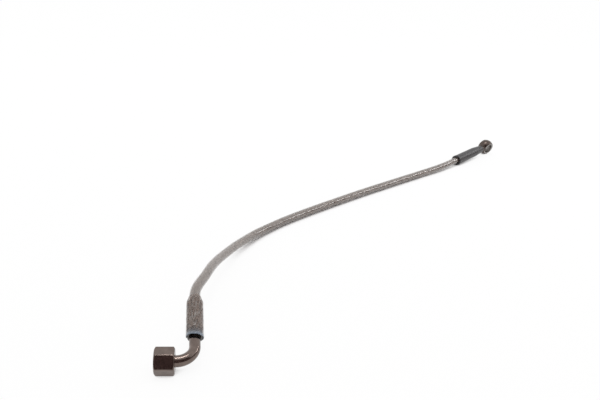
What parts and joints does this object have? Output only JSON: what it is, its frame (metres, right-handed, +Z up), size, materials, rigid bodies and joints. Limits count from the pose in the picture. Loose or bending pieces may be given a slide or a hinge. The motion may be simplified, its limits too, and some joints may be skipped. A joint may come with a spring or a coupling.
{
  "type": "oil cooler line",
  "caption": "Flexible braided oil line with a hexagonal swivel nut on a bent tube at one end and a spherical banjo eye at the other.",
  "frame": {"origin": "on the table under the middle of the fittings, whose box reaches from the nut to the banjo eye", "axes": "+Z up from the table that the line lies on; the nut opens towards -X; the hose runs on towards +Y"},
  "size_m": [0.4379, 0.5344, 0.0275],
  "materials": {
    "bronzed_steel": "zinc-nickel plated steel, dark bronze brown, glossy",
    "plain_steel": "turned steel, bright zinc",
    "braid_steel": "fine stainless wire braid",
    "clear_cover": "clear, slightly warm, seen over the braid",
    "liner_plastic": "smooth black conductive fluoropolymer",
    "clear_shrink": "clear heat-shrink over the ferrule",
    "black_shrink": "black heat-shrink, satin",
    "ring_rubber": "black nitrile rubber"
  },
  "bodies": {
    "line": {"cone_nipple": "plain_steel", "cone_o_ring": "ring_rubber", "elbow_tube": "bronzed_steel", "elbow_hose_tail": "plain_steel", "elbow_ferrule": "plain_steel", "elbow_shrink_sleeve": "clear_shrink", "hose_liner": "liner_plastic", "hose_braid": "braid_steel", "hose_cover": "clear_cover", "banjo_hose_tail": "plain_steel", "banjo_ferrule": "plain_steel", "banjo_shrink_sleeve": "black_shrink", "banjo_eye": "bronzed_steel"},
    "nut": {"swivel_nut": "bronzed_steel"}
  },
  "joints": [
    {"name": "nut_spin", "type": "hinge", "parent": "line", "child": "nut", "pos_m": [-0.2117, -0.258, 0.0085], "axis": [1, 0, 0], "continuous": true}
  ]
}
